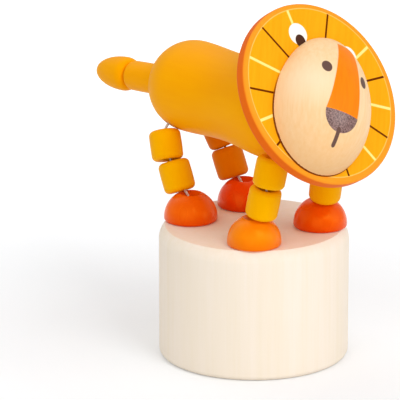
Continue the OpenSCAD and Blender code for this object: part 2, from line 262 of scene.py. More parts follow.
def in_millimetres(tree, place=(0, 0, 0), turn=(0, 0, 0)):
    split = tree.nodes.new("ShaderNodeSeparateXYZ")
    tree.links.new(mapped(tree, place, turn, (MM, MM, MM)), split.inputs[0])
    return split.outputs

print("node helpers ready")

# %% Grain helpers
noise_span = 0.3, 0.7
grain_deep = 0.06 * MM
cloud_size = 12, 12, 30


def noise(tree, size, turn=(0, 0, 0), detail=3.0, roughness=0.55):
    node = tree.nodes.new("ShaderNodeTexNoise")
    tree.links.new(mapped(tree, turn=turn, size=[s * MM for s in size]), node.inputs["Vector"])
    for socket, value in zip(("Scale", "Detail", "Roughness"), (1.0, detail, roughness)):
        node.inputs[socket].default_value = value
    return node.outputs["Fac"]


def fibre_noise(tree, size, turn=(0, 0, 0)):
    return noise(tree, size, turn, detail=4.0, roughness=0.6)


def cloud_noise(tree, size, turn=(0, 0, 0)):
    return noise(tree, size, turn, detail=2.0)


def weighed(tree, first, second, first_share):
    return plus(tree, times(tree, first, first_share), times(tree, second, 1 - first_share))


def bumped(tree, shader, height, strength):
    node = tree.nodes.new("ShaderNodeBump")
    node.inputs["Strength"].default_value = strength
    node.inputs["Distance"].default_value = grain_deep
    tree.links.new(height, node.inputs["Height"])
    tree.links.new(node.outputs[0], shader.inputs["Normal"])


def new_finish(name, gloss):
    finish = bpy.data.materials.new(name)
    finish.use_nodes = True
    shader = finish.node_tree.nodes["Principled BSDF"]
    shader.inputs["Specular IOR Level"].default_value = gloss
    return finish, finish.node_tree, shader

print("grain helpers ready")

# %% [markdown]
# ### Stained wood
# The legs, the body and the tail are dipped in a warm yellow stain, the feet in red-orange. One flat colour
# would look like plastic. Stain soaks in unevenly, so slow clouds and fine fibres mix two close tones, and
# each leg and foot has tones of its own: most differ a little, as each took the stain a little differently,
# but the rear left leg and foot are painted deeper as painted shade under the body, and the front right foot
# paler as painted bounce light. On a foot a deeper tone is painted at the lower edge, as painted shade where
# the dome meets the base. The lacquer over it has a warm satin sheen, and its roughness follows the clouds
# a little.

# %% Stained wood
base_h = 35
# Painted shade at a foot's lower edge: between these heights over the base the colour turns toward a deeper
# tone.
shade_top, shade_low, shade_share = base_h + 3.5, base_h + 0.2, 0.85
satin, satin_gloss, satin_bump = (0.42, 0.52), 0.08, 0.1
wet, wet_gloss = (0.24, 0.34), 0.5
lacquer_tint = tone(255, 196, 60)


def stained(name, light, deep, turn=(0, 0, 0), rough=satin, gloss=satin_gloss, edge_shade=None):
    finish, tree, shader = new_finish(name, gloss)
    fibres = fibre_noise(tree, (1.1, 1.1, 12), turn)
    clouds = cloud_noise(tree, cloud_size, turn)
    share = weighed(tree, fibres, clouds, first_share=0.3)
    colour = mixed(tree, spread(tree, share, *noise_span), tone(*deep), tone(*light))
    # Painted shade: toward its lower edge a foot's colour turns to its deeper edge tone.
    if edge_shade:
        height = in_millimetres(tree)["Z"]
        colour = mixed(tree, spread(tree, height, shade_top, shade_low, 0.0, shade_share), colour, tone(*edge_shade))
    tree.links.new(colour, shader.inputs["Base Color"])
    tree.links.new(spread(tree, clouds, *noise_span, *rough), shader.inputs["Roughness"])
    bumped(tree, shader, fibres, satin_bump)
    shader.inputs["Sheen Weight"].default_value = 0.08
    shader.inputs["Sheen Roughness"].default_value = 0.4
    for socket in ("Specular Tint", "Sheen Tint"):
        shader.inputs[socket].default_value = lacquer_tint
    return finish

lengthwise = (0, radians(90), 0)
body_finish = stained("yellow_stain_body", (255, 176, 0), (250, 164, 0), lengthwise)
tail_finish = stained("yellow_stain_tail", (255, 174, 0), (250, 162, 0), lengthwise)
print("stains:", body_finish.name, tail_finish.name)

# %% Stains of legs and feet
# Light and deep tone of each leg. The rear left tones are deeper as painted shade under the body; the others
# differ a little in stain.
leg_tones_and_shade = {
    "front_left": ((255, 184, 0), (252, 170, 0)), "front_right": ((255, 186, 0), (252, 173, 0)),
    "rear_left": ((232, 130, 0), (218, 110, 0)), "rear_right": ((255, 184, 0), (252, 171, 0))}
# Light, deep and lower-edge tone of each foot; the lower-edge tone is painted shade. The rear left tones are
# deeper as painted shade, the front right ones paler as painted bounce light.
foot_tones_and_shade = {
    "front_left": ((255, 106, 4), (246, 84, 0), (226, 56, 0)),
    "front_right": ((255, 144, 8), (252, 124, 2), (240, 100, 0)),
    "rear_left": ((252, 80, 6), (242, 64, 2), (216, 46, 0)),
    "rear_right": ((255, 110, 6), (248, 88, 0), (230, 62, 0))}
leg_finish = {}
for leg, (light, deep) in leg_tones_and_shade.items():
    leg_finish[leg] = stained("yellow_stain_" + leg, light, deep)
foot_finish = {}
for leg, (light, deep, edge_shade) in foot_tones_and_shade.items():
    foot_finish[leg] = stained("orange_stain_and_shade_" + leg, light, deep, rough=wet, gloss=wet_gloss, edge_shade=edge_shade)
print("stains:", len(leg_finish), "legs and", len(foot_finish), "feet")

# %% [markdown]
# ### Pale wood
# The base is bare pale wood under clear lacquer. Growth rings could be drawn as bands, but they hardly show
# in such an even wood. So the grain runs upright, in fine streaks that are only slightly darker than the
# rest. The button uses the same wood, a little darker and without lacquer.

# %% Pale wood
streak_span = 0.36, 0.62
pale_gloss, pale_bump = 0.2, 0.08


def pale_wood(name, light, deep, rough):
    finish, tree, shader = new_finish(name, pale_gloss)
    fibres = fibre_noise(tree, (0.9, 0.9, 45))
    clouds = cloud_noise(tree, cloud_size)
    streaks = noise(tree, (3, 3, 60), roughness=0.6)
    share = spread(tree, weighed(tree, fibres, streaks, first_share=0.4), *streak_span)
    tree.links.new(mixed(tree, share, tone(*deep), tone(*light)), shader.inputs["Base Color"])
    tree.links.new(spread(tree, clouds, *noise_span, *rough), shader.inputs["Roughness"])
    bumped(tree, shader, fibres, pale_bump)
    return finish

base_finish = pale_wood("pale_wood_base", (248, 235, 219), (245, 231, 210), (0.5, 0.6))
button_finish = pale_wood("plain_wood_button", (240, 220, 188), (228, 202, 164), (0.62, 0.74))
print("woods:", base_finish.name, button_finish.name)

# %% [markdown]
# ## Base
# The base is one turned block, crisp at its top edge and rounded below, hollow from underneath, with a
# shallow seat for the spring in its roof. It could be a bevelled cylinder with a smaller one cut out. One
# profile gives both at once: it runs from the top's middle over the outside and back up through the hollow,
# with a few rings on the flat stretches that keep the faces small. Only the four cord holes, which lie off
# the axis under the feet, are drilled.

# %% Base
foot_spots = {
    "front_left": (12.75, 11.85), "front_right": (12.75, -11.85),
    "rear_left": (-14.2, 9.55), "rear_right": (-14.2, -9.55)}
base_r, top_flat_r, hollow_r, roof_z = 25, 23.25, 20.5, 27
shoulder_round, shoulder_z, shoulder_from = 4.7, 31.4, 50
low_round, lip_round = 1.5, 0.5
spring_seat_r, spring_seat_z = 10.7, 28.5
cord_hole_r, hole_low, hole_high = 1.5, 20, 40
base_profile = [(r, base_h) for r in (*range(0, 24, 3), top_flat_r - 0.15, top_flat_r)]
base_profile += arc(base_r - shoulder_round, shoulder_z, shoulder_round, shoulder_from, 0, 12)
base_profile += [(base_r, z) for z in (25, 18, 11, 5)]
base_profile += arc(base_r - low_round, low_round, low_round, 0, -90, 8)
base_profile += arc(hollow_r + lip_round, lip_round, lip_round, -90, -180, 4)
base_profile += [(hollow_r, 14), (hollow_r, roof_z), (spring_seat_r, roof_z)]
base_profile += [(spring_seat_r, spring_seat_z), (0, spring_seat_z)]
base = turned("base_block", base_profile, 160)
for x, y in foot_spots.values():
    bored(base, drill(cord_hole_r, hole_low, hole_high, Matrix.Translation((x * MM, y * MM, 0))))
put(base, Matrix.Identity(4))
base.data.materials.append(base_finish)
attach(base, "base")
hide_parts("base_shell")
print("base:", len(base.data.polygons), "faces")

# %% [markdown]
# ## Button
# The button fills the hollow with a small gap all round. Its stem guides the spring, and the cords' knots
# sit in pockets in its underside. Disc and stem could be two pieces, but one profile turns them together.
# The pockets lie off the axis, so they are drilled.

# %% Button
button_low, button_top, button_r, button_round = 1.5, 8.5, 20.1, 1
stem_r, stem_top, stem_round = 7.68, 20.25, 0.65
button_cord_r, button_hole_r, hole_past = 15, 1.1, 1.5
pocket_r, pocket_top = 1.6, 4.9
rim_r, stem_edge_z = button_r - button_round, stem_top - stem_round


def button_hole(x, y):
    return Vector((x, y, 0)).normalized() * button_cord_r

button_profile = [(0, button_low), (10, button_low)]
button_profile += arc(rim_r, button_low + button_round, button_round, -90, 0, 6)
button_profile += arc(rim_r, button_top - button_round, button_round, 0, 90, 6)
button_profile += [(12, button_top), (stem_r, button_top), (stem_r, stem_edge_z)]
button_profile += arc(stem_r - stem_round, stem_edge_z, stem_round, 0, 90, 4) + [(0, stem_top)]
button = turned("press_button", button_profile, 128)
for x, y in foot_spots.values():
    there = Matrix.Translation(button_hole(x, y) * MM)
    through = drill(button_hole_r, 0, button_top + hole_past, there)
    bored(button, through, drill(pocket_r, 0, pocket_top, there))
put(button, Matrix.Identity(4))
button.data.materials.append(button_finish)
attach(button, "button")
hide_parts("push_button")
print("button:", len(button.data.polygons), "faces")

# %% [markdown]
# ## Spring
# The spring is wire wound round a bar: its turns are spread in the middle and closed at both ends. A screw
# modifier could wind it, but only with one pitch. So its path is drawn point by point and given the wire's
# thickness. Pressing the button shortens it toward the roof.

# %% Wire and thread helper
tube_crease = radians(60)


def path_tube(name, points, radius, tilts=None, section=None):
    line = bpy.data.curves.new(name, "CURVE")
    line.dimensions = "3D"
    line.use_fill_caps = True
    run = line.splines.new("POLY")
    run.points.add(len(points) - 1)
    for i, p in enumerate(points):
        run.points[i].co = (p[0] * MM, p[1] * MM, p[2] * MM, 1)
        if tilts:
            run.points[i].tilt = tilts[i]
    if section:
        line.bevel_mode = "OBJECT"
        line.bevel_object = section
    else:
        line.bevel_depth = radius * MM
        line.bevel_resolution = 4
    tube = bpy.data.objects.new(name, line)
    bpy.context.collection.objects.link(tube)
    alone(tube)
    bpy.ops.object.convert(target="MESH")
    bpy.ops.object.mode_set(mode="EDIT")
    bpy.ops.mesh.select_all(action="SELECT")
    bpy.ops.mesh.remove_doubles(threshold=sliver)
    bpy.ops.mesh.normals_make_consistent(inside=False)
    bpy.ops.object.mode_set(mode="OBJECT")
    bpy.ops.object.shade_smooth_by_angle(angle=tube_crease)
    return bpy.context.active_object

print("wire helper ready")

# %% Spring
wire_r, coil_r, spring_low, spring_high = 0.6, 9.5, 8.75, 28.25
closed_turn, open_turns, steps_per_turn = 0.9, 3.7, 48
closed_slack = 1.08
closed_rise = 2 * wire_r * closed_slack * closed_turn
open_rise = spring_high - spring_low - 2 * wire_r - 2 * closed_rise
coil = []
total_turns = 2 * closed_turn + open_turns
for i in range(int(total_turns * steps_per_turn) + 1):
    t = i / steps_per_turn
    z = closed_rise * min(t / closed_turn, 1)
    z += open_rise * min(max((t - closed_turn) / open_turns, 0), 1)
    z += closed_rise * max((t - closed_turn - open_turns) / closed_turn, 0)
    coil.append((coil_r * cos(2 * pi * t), coil_r * sin(2 * pi * t), spring_low + wire_r + z))
spring = path_tube("coil_spring", coil, wire_r)

spring_finish, tree, shader = new_finish("spring_wire", gloss=0.5)
shader.inputs["Metallic"].default_value = 1
drawn = noise(tree, (2, 2, 0.4))
tree.links.new(mixed(tree, drawn, tone(150, 150, 152), tone(205, 205, 208)), shader.inputs["Base Color"])
tree.links.new(spread(tree, drawn, *noise_span, 0.25, 0.42), shader.inputs["Roughness"])
spring.data.materials.append(spring_finish)
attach(spring, "base")
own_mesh(spring)
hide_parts("return_spring")
print("spring:", round(total_turns, 1), "turns")

# %% [markdown]
# ## Feet
# Each foot is a dome glued to the base, with a small rounded edge at its foot line and a cord hole that
# widens at the top. The hole could be drilled, but it lies on the lathe's axis. So the profile is a closed
# loop beside the axis, one pattern is turned, and four copies take their places.

# %% Feet
foot_r, dome_z, foot_edge = 7.05, 0.95, 0.7
mouth_r, mouth_lip = 2.88, 0.25
dome_end = 90 - degrees(asin((mouth_r + mouth_lip) / foot_r))
mouth_profile = [(mouth_r, 7.34), (mouth_r - 0.3, 7.12), (2.0, 6.5)]
foot_profile = [(cord_hole_r, 0), (4, 0)] + arc(foot_r - foot_edge, foot_edge, foot_edge, -90, 0, 6)
foot_profile += arc(0, dome_z, foot_r, 0, dome_end, 26) + mouth_profile
foot_profile += [(cord_hole_r, z) for z in (6, 3, 0)]
first_foot = turned("foot_pattern", foot_profile)
for corner, (x, y) in foot_spots.items():
    foot = put(copied(first_foot, "foot_dome_" + corner), Matrix.Translation((x * MM, y * MM, base_h * MM)))
    foot.data.materials.append(foot_finish[corner])
    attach(foot, "base")
    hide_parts("foot_" + corner)
bpy.data.objects.remove(first_foot)
print("feet:", len(foot_spots))

# %% [markdown]
# ## Leg beads
# Each leg has a shin bead on the dome and a thigh bead above it. Their places could be set by eye. Here they
# follow from the way that beads stack on a cord: a leg's line starts at the middle of its dome, each bead
# leans forward and inward by its own angles, and a hair's gap stays between neighbours. The right legs are
# worked out, and the left ones mirror them.

# %% Leg places
seat_gap = 0.25
bead_r, bead_half, bead_round = 4.2, 4.0, 1.8
leans = {
    "front": {"leg": (14, 3.5), "shin": (11.5, 3.5), "thigh": (4.5, 10)},
    "rear": {"leg": (-29, 0), "shin": (-24.5, 1), "thigh": (-24, 10)}}
sides = {"right": 1, "left": -1}


def mirrored(p, way):
    return Vector((p[0], p[1] * way, p[2]))


def leaning(forward, inward):
    forward, inward = radians(forward), radians(inward)
    return Vector((sin(forward) * cos(inward), sin(inward), cos(forward) * cos(inward)))


def bead_places(end):
    line, shin_axis, thigh_axis = [leaning(*leans[end][part]) for part in ("leg", "shin", "thigh")]
    dome_mid = Vector((*foot_spots[end + "_right"], base_h + dome_z))
    bend = shin_axis.angle(thigh_axis)
    tilted_half = (bead_half - bead_round) * cos(bend) + (bead_r - bead_round) * sin(bend) + bead_round
    shin_level = foot_r + seat_gap + bead_half
    thigh_level = foot_r + 2 * seat_gap + 2 * bead_half + tilted_half
    stretch = 1 / line.dot(shin_axis)
    shin_mid, thigh_mid = [dome_mid + line * (level * stretch) for level in (shin_level, thigh_level)]
    return {"shin": (shin_mid, shin_axis), "thigh": (thigh_mid, thigh_axis)}

leg_beads = {end: bead_places(end) for end in leans}
for end, beads in leg_beads.items():
    print(end, "shin at", [round(p, 1) for p in beads["shin"][0]], "mm")

# %% [markdown]
# ### Turning the beads
# The beads are short barrels with well rounded ends, a faint swell in the middle and a bore. They could be
# bevelled tubes, but the bore's mouths are softened too. So the profile is again a closed loop beside the
# axis. A shin bead is a little longer at its lower end, where it sits on the dome.

# %% Leg beads
bead_bore, mouth_deep, mouth_wide, swell = 1.6, 0.8, 0.3, 0.05
bead_edge, knee_fill = 1.4, 0.07


def barrel(name, r, low, high, edge):
    profile = [(bead_bore, low + mouth_deep), (bead_bore + mouth_wide, low + mouth_wide)]
    profile += arc(r - edge, low + edge, edge, -90, 0, 10)
    profile += [(r + 0.8 * swell, low / 4), (r + swell, 0), (r + 0.8 * swell, high / 4)]
    profile += arc(r - edge, high - edge, edge, 0, 90, 10)
    profile += [(bead_bore + mouth_wide, high - mouth_wide), (bead_bore, high - mouth_deep)]
    profile += [(bead_bore, 0), profile[0]]
    return turned(name, profile, 72)

filled = bead_half + knee_fill
bead_patterns = {
    "shin": barrel("shin_pattern", bead_r, -bead_half - seat_gap, filled, bead_edge),
    "thigh": barrel("thigh_pattern", bead_r, -filled, bead_half, bead_edge)}
for part, pattern in bead_patterns.items():
    for end in leans:
        spot, axis = leg_beads[end][part]
        for side, way in sides.items():
            tag = "_".join((part, end, side))
            place = upright_to(mirrored(spot, way), mirrored(axis, way))
            bead = put(copied(pattern, part + "_bead_" + end + "_" + side), place)
            bead.data.materials.append(leg_finish[end + "_" + side])
            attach(bead, tag)
            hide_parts(tag)
    bpy.data.objects.remove(pattern)
print("leg beads:", len(bead_patterns) * len(leans) * len(sides))

# %% [markdown]
# ## Torso
# The torso is turned in one piece: a round rump, a waist that is drawn in, and a slightly larger round
# chest. Two balls and a tube could be joined, but their seams would show, so one smooth profile is turned
# and laid along the back. It is bored along its length for the cords, up through the neck, and at the four
# hips, where each hole widens toward its thigh bead.

# %% Torso
rump, chest = Vector((-23.3, 0, 67.93)), Vector((9.8, 0, 67.941))
rump_r, chest_r, waist_in = 12.2, 13, 1
torso_bore, neck_bore, hip_mouth, drill_past = 2.5, 2.2, 1.6, 1
back_rings = 40
head_pitch = radians(30.5)
head_dir = Vector((cos(head_pitch), 0, sin(head_pitch)))
span = (chest - rump).length
torso_dir = (chest - rump).normalized()


def torso_r(s):
    return rump_r + (chest_r - rump_r) * (3 * s * s - 2 * s ** 3) - waist_in * sin(pi * s) ** 2

torso_profile = arc(0, 0, rump_r, -90, 0, 30)
torso_profile += [(torso_r(i / back_rings), span * i / back_rings) for i in range(1, back_rings)]
torso_profile += arc(0, span, chest_r, 0, 90, 30)
torso = put(turned("torso_turned", torso_profile, 128), upright_to(rump, torso_dir))
bored(torso, drill(torso_bore, -rump_r - drill_past, span, upright_to(rump, torso_dir)),
      drill(neck_bore, 0, chest_r + drill_past, upright_to(chest, head_dir)))
hips = {}
hip_roots = {"front": chest, "rear": rump}
for end, root in hip_roots.items():
    thigh_mid, thigh_axis = leg_beads[end]["thigh"]
    hips[end] = thigh_mid + thigh_axis * bead_half
    for way in sides.values():
        run = mirrored(hips[end], way) - root
        bored(torso, drill(bead_bore, 0, run.length, upright_to(root, run), hip_mouth))
put(torso, Matrix.Identity(4))
torso.data.materials.append(body_finish)
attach(torso, "torso")
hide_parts("torso")
print("torso:", len(torso.data.polygons), "faces")

# %% [markdown]
# ## Tail
# The tail is a long bead against the rump and an egg-shaped tip. The bead is a barrel like those of the
# legs. The tip could be a stretched ball, but it has a flat, rounded end toward the body and a blind hole in
# which the rear cords are glued, so it gets a profile of its own.

# %% Tail
tail_droop = radians(4.5)
tail_dir = Vector((-cos(tail_droop), 0, -sin(tail_droop)))
tail_r, tail_l, tail_edge = 4, 12.6, 1.6
tail_mid = rump + tail_dir * (rump_r + seat_gap + tail_l / 2)
tip_start = rump + tail_dir * (rump_r + 2 * seat_gap + tail_l)
tail_bead = barrel("tail_bead", tail_r, -tail_l / 2, tail_l / 2, tail_edge)
tail_root = put(tail_bead, upright_to(tail_mid, tail_dir))

tip_flat_r, tip_r, tip_belly, tip_l = 3.3, 4.6, 2.4, 13.2
tip_hole, tip_mouth = 8, 0.4
tip_profile = [(0, tip_hole), (bead_bore, tip_hole), (bead_bore, tip_mouth), (bead_bore + tip_mouth, 0)]
for a in [pi * i / 20 for i in range(11)]:
    tip_profile.append((tip_flat_r + (tip_r - tip_flat_r) * sin(a), tip_belly * (1 - cos(a))))
for a in [pi * i / 48 for i in range(1, 24)]:
    tip_profile.append((tip_r * cos(a), tip_belly + (tip_l - tip_belly) * sin(a)))
tip_profile.append((0, tip_l))
tail_tip = put(turned("tail_egg", tip_profile, 72), upright_to(tip_start, tail_dir))
for piece, node in ((tail_root, "tail_root"), (tail_tip, "tail_tip")):
    piece.data.materials.append(tail_finish)
    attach(piece, node)
    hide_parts(node)
print("tail pieces:", tail_root.name, tail_tip.name)

# %% [markdown]
# ## Mane
# The mane is a flat round disc with rounded edges. It leans back and is rolled to the lion's left. It could
# be turned flat and tilted by angles, but a small frame of its own is easier to draw in: X runs down the
# face, Y to the lion's left, Z out of the face. The disc is turned in that frame, off its origin, because
# the cord hole lies above the disc's middle.

# %% Mane disc
neck = chest + head_dir * (chest_r + seat_gap)
roll = radians(30)
face_down = Vector((head_dir.z, 0, -head_dir.x))
head_x = cos(roll) * face_down - sin(roll) * Vector((0, 1, 0))
head_y = sin(roll) * face_down + cos(roll) * Vector((0, 1, 0))
head_turn = Matrix((head_x, head_y, head_dir)).transposed()
head_place = Matrix.Translation(neck * MM) @ head_turn.to_4x4()
disc_mid, disc_left, disc_r, disc_t, disc_edge = 0.85, 0.4, 24.4, 4.0, 1.1
disc_profile = [(r, 0) for r in (0, 8, 16)]
disc_profile += arc(disc_r - disc_edge, disc_edge, disc_edge, -90, 0, 8)
disc_profile += arc(disc_r - disc_edge, disc_t - disc_edge, disc_edge, 0, 90, 8)
disc_profile += [(r, disc_t) for r in (20, 16, 8, 0)]
mane = turned("mane_plate", disc_profile, 160)
settled(mane, Matrix.Translation((disc_mid * MM, disc_left * MM, 0)))
bored(mane, drill(cord_hole_r, -disc_t / 2, 2 * disc_t, Matrix.Identity(4)))
put(mane, head_place)
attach(mane, "head")
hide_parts("mane_disc")
print("mane:", len(mane.data.polygons), "faces")

# %% [markdown]
# ### Mane print
# The disc is stained orange, and a yellow field with short rays is printed on its front. Brown and cream
# rays take turns, nearly the same on both sides, and two round ears sit at the top, the left one printed a
# little nearer the face. A fine dark line of painted shadow lies round the lower part of the face, where it
# meets the disc. The print could be thin raised shapes, but ink has no thickness. So everything is drawn in
# the material with distances in the head's frame, in millimetres: a distance below zero is inside a shape,
# and a narrow ramp gives it a crisp printed edge.

# %% Print helpers
print_soft = 0.12
head_axes = tuple(head_turn.to_euler())


def head_frame(tree):
    return in_millimetres(tree, neck * MM, head_axes)


def inside(tree, distance, soft=print_soft):
    return spread(tree, distance, soft / 2, -soft / 2)


def both(tree, a, b):
    return times(tree, a, b)


def far(tree, a, b):
    return calc(tree, "SQRT", plus(tree, times(tree, a, a), times(tree, b, b)))


def oval(tree, across, half_across, along, half_along):
    away = far(tree, calc(tree, "DIVIDE", across, half_across), calc(tree, "DIVIDE", along, half_along))
    return inside(tree, times(tree, minus(tree, away, 1.0), half_across))

print("print helpers ready")

# %% Mane stain and field
print_r, pale_edge_out, field_in = 22.7, 0.15, 0.1
front_deep, edge_deep, edge_soft = 0.3, 0.75, 0.5
mane_finish, tree, shader = new_finish("mane_stain_and_print", satin_gloss)
shader.inputs["Specular Tint"].default_value = lacquer_tint
x, y, z = head_frame(tree)
up = minus(tree, disc_mid, x)
radius = far(tree, up, y)
turn = calc(tree, "ARCTAN2", y, up)
fibres = fibre_noise(tree, (14, 0.8, 0.8), head_axes)
clouds = cloud_noise(tree, (10, 10, 10))
front = inside(tree, minus(tree, disc_t - front_deep, z))

side_stain = mixed(tree, clouds, tone(232, 100, 14), tone(240, 112, 20))
ring_stain = mixed(tree, clouds, tone(254, 150, 32), tone(255, 160, 44))
on_ring = inside(tree, minus(tree, disc_t - edge_deep, z), edge_soft)
colour = mixed(tree, on_ring, side_stain, ring_stain)
on_pale_edge = both(tree, front, inside(tree, minus(tree, radius, print_r + pale_edge_out)))
colour = mixed(tree, on_pale_edge, colour, tone(255, 196, 96))
on_field = both(tree, front, inside(tree, minus(tree, radius, print_r - field_in)))
field = mixed(tree, spread(tree, fibres, *noise_span), tone(246, 163, 14), tone(251, 173, 22))
colour = mixed(tree, on_field, colour, field)
tree.links.new(spread(tree, clouds, *noise_span, *satin), shader.inputs["Roughness"])
bumped(tree, shader, fibres, satin_bump)
mane.data.materials.append(mane_finish)
print("mane stain:", len(tree.nodes), "nodes")

# %% Rays
def ray(half, angle, start, beside):
    away = minus(tree, turn, angle)
    off = calc(tree, "ABSOLUTE", minus(tree, times(tree, radius, calc(tree, "SINE", away)), beside))
    ahead = calc(tree, "GREATER_THAN", calc(tree, "COSINE", away), 0.0)
    band = both(tree, inside(tree, minus(tree, off, half)), ahead)
    reach = both(tree, inside(tree, minus(tree, start, radius)), inside(tree, minus(tree, radius, print_r)))
    return both(tree, front, both(tree, band, reach))

inks = {"brown": (tone(104, 40, 0), 0.29), "cream": (tone(255, 236, 140), 0.36)}
under_face = 10
# Each ray: its angle from the top, its ink, where it starts, and its shift to one side.
rays = (
    (1.5, "brown", 14, 0), (60, "brown", under_face, 0), (82.3, "cream", under_face, 0),
    (103.6, "brown", under_face, 0), (122, "cream", under_face, 1.0), (152, "brown", under_face, 0),
    (37.8, "cream", 16, 0), (-32.3, "cream", 18.4, 0), (-59, "brown", under_face, 0),
    (-84.6, "cream", under_face, 0), (-99.2, "brown", under_face, -2.7), (-126, "cream", under_face, -0.9),
    (-147.3, "brown", under_face, 0))
for angle, ink, start, beside in rays:
    ink_tone, half = inks[ink]
    colour = mixed(tree, ray(half, radians(angle), start, beside), colour, ink_tone)
print("rays:", len(rays))

# %% Ears
ear_turn, ear_out, ear_r, left_ear_in = radians(31), 16.1, 2.9, 1.1
inner_out, inner_across, inner_along = 14.2, 1.6, 1.75
aslant = minus(tree, calc(tree, "ABSOLUTE", turn), ear_turn)
across = times(tree, radius, calc(tree, "SINE", aslant))
outward = times(tree, radius, calc(tree, "COSINE", aslant))
on_left = calc(tree, "GREATER_THAN", turn, 0.0)
outward = calc(tree, "MULTIPLY_ADD", on_left, left_ear_in, outward)
ear = oval(tree, across, ear_r, minus(tree, outward, ear_out), ear_r)
colour = mixed(tree, both(tree, front, ear), colour, tone(255, 252, 246))
inner_ear = oval(tree, across, inner_across, minus(tree, outward, inner_out), inner_along)
colour = mixed(tree, both(tree, front, inner_ear), colour, tone(74, 44, 36))
print("ears at", ear_out, "mm from the disc's middle")

# %% Seam shadow under the face
egg_mid, face_turn = disc_mid + 3.8, radians(6)
egg_half_w, egg_half_l, egg_swell, egg_sunk = 14.2, 19.5, 0.13, 1.6
# Painted shadow: a thin dark line just outside the face's foot, on the lower part of the face.
seam_shadow_scale, seam_shadow_top, seam_shadow_full = 1.008, 5, -4


def face_axes(tree, x, y):
    down = minus(tree, x, egg_mid)
    up = minus(tree, times(tree, y, sin(face_turn)), times(tree, down, cos(face_turn)))
    left = plus(tree, times(tree, down, sin(face_turn)), times(tree, y, cos(face_turn)))
    return up, left

face_up, face_left = face_axes(tree, x, y)
share = calc(tree, "DIVIDE", face_up, -seam_shadow_scale * egg_half_l)
girth = times(tree, calc(tree, "MULTIPLY_ADD", share, egg_swell, 1.0), egg_half_w)
square = times(tree, times(tree, girth, girth), minus(tree, 1.0, times(tree, share, share)))
foot_line = calc(tree, "SQRT", calc(tree, "MAXIMUM", minus(tree, square, egg_sunk ** 2), 0.0))
past_foot = minus(tree, calc(tree, "DIVIDE", calc(tree, "ABSOLUTE", face_left), seam_shadow_scale), foot_line)
low_side = spread(tree, face_up, seam_shadow_top, seam_shadow_full)
seam_shadow = both(tree, front, both(tree, inside(tree, past_foot), low_side))
# Painted shadow where the face meets the disc.
colour = mixed(tree, seam_shadow, colour, tone(150, 76, 18))
tree.links.new(colour, shader.inputs["Base Color"])
print("mane print:", len(tree.nodes), "nodes")

# %% [markdown]
# ## Face
# The face is half of a turned egg, fuller at the chin, sawn lengthwise and glued to the disc. A ball could
# be squashed to that shape, but the real one is turned and sawn, and so is this one: the egg is turned
# upright, laid down along the face and cut by a plane. The cut edge is broken by a small chamfer, and the
# cut is filled. A small room is drilled behind it for the front cords' knots.

# %% Face
saw_z, chamfer, chamfer_scale = disc_t, 0.45, (0.97, 0.958, 1)
knot_room_r, knot_room_deep = 3.5, 5
egg_rings = 60
egg_profile = [(0, -egg_half_l)]
for a in [pi * i / egg_rings for i in range(1, egg_rings)]:
    egg_profile.append((egg_half_w * sin(a) * (1 - egg_swell * cos(a)), -egg_half_l * cos(a)))
egg_profile.append((0, egg_half_l))
face = turned("face_half_egg", egg_profile, 128)
settled(face, upright_to((egg_mid, 0, saw_z - egg_sunk), (cos(face_turn), -sin(face_turn), 0)))
bpy.ops.object.mode_set(mode="EDIT")
bpy.ops.mesh.select_all(action="SELECT")
bpy.ops.mesh.bisect(plane_co=(0, 0, (saw_z + chamfer) * MM), plane_no=(0, 0, 1), clear_inner=True)
bpy.ops.mesh.extrude_edges_move(TRANSFORM_OT_translate={"value": (0, 0, -chamfer * MM)})
bpy.ops.transform.resize(value=chamfer_scale, center_override=(egg_mid * MM, 0, saw_z * MM))
bpy.ops.mesh.edge_face_add()
bpy.ops.mesh.select_all(action="SELECT")
bpy.ops.mesh.normals_make_consistent(inside=False)
bpy.ops.object.mode_set(mode="OBJECT")
bored(face, drill(knot_room_r, saw_z - disc_t / 2, saw_z + knot_room_deep, Matrix.Identity(4)))
put(face, head_place)
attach(face, "head")
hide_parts("face_block")
print("face:", len(face.data.polygons), "faces")

# %% [markdown]
# ### Face paint
# The bare wood is peach coloured, with a pale patch of painted highlight on the right cheek and painted
# shade darkening it toward the chin. An orange bridge runs down from the brow to the nose. The nose is a
# dark, speckled half oval with a faint shine, the eyes are two small dark ovals, and the mouth is one short
# line.
# Separate shapes would have to follow the egg's curve, so the paint is drawn in the material like the print,
# in millimetres across and up the face.

# %% Face wood
face_span = 0.32, 0.68
# Painted shade: below these heights the face's colour turns deeper toward the chin.
chin_shade_from, chin_shade_full, chin_shade_share = -4, -20, 0.72
# Painted highlight: a pale patch on the right cheek, round this spot and within this reach.
highlight_left, highlight_up, highlight_edge, highlight_full, highlight_share = -8.5, 0.5, 9, 1, 0.8
face_finish, tree, shader = new_finish("face_wood_and_paint", gloss=0.1)
x, y = head_frame(tree)[:2]
up, left = face_axes(tree, x, y)
fibres = fibre_noise(tree, (16, 0.9, 0.9), head_axes)
clouds = cloud_noise(tree, (12, 12, 12))
colour = mixed(tree, spread(tree, fibres, *face_span), tone(247, 204, 150), tone(251, 215, 168))
# Painted shade toward the chin.
chin_shade = spread(tree, up, chin_shade_from, chin_shade_full, 0, chin_shade_share)
colour = mixed(tree, chin_shade, colour, tone(236, 182, 120))
# Painted highlight: the colour turns paler round a spot on the right cheek.
off_highlight = far(tree, minus(tree, left, highlight_left), minus(tree, up, highlight_up))
cheek_highlight = spread(tree, off_highlight, highlight_edge, highlight_full, 0.0, highlight_share)
colour = mixed(tree, cheek_highlight, colour, tone(252, 224, 186))
tree.links.new(spread(tree, clouds, *noise_span, 0.4, 0.5), shader.inputs["Roughness"])
bumped(tree, shader, fibres, pale_bump)
face.data.materials.append(face_finish)
print("face wood:", len(tree.nodes), "nodes")

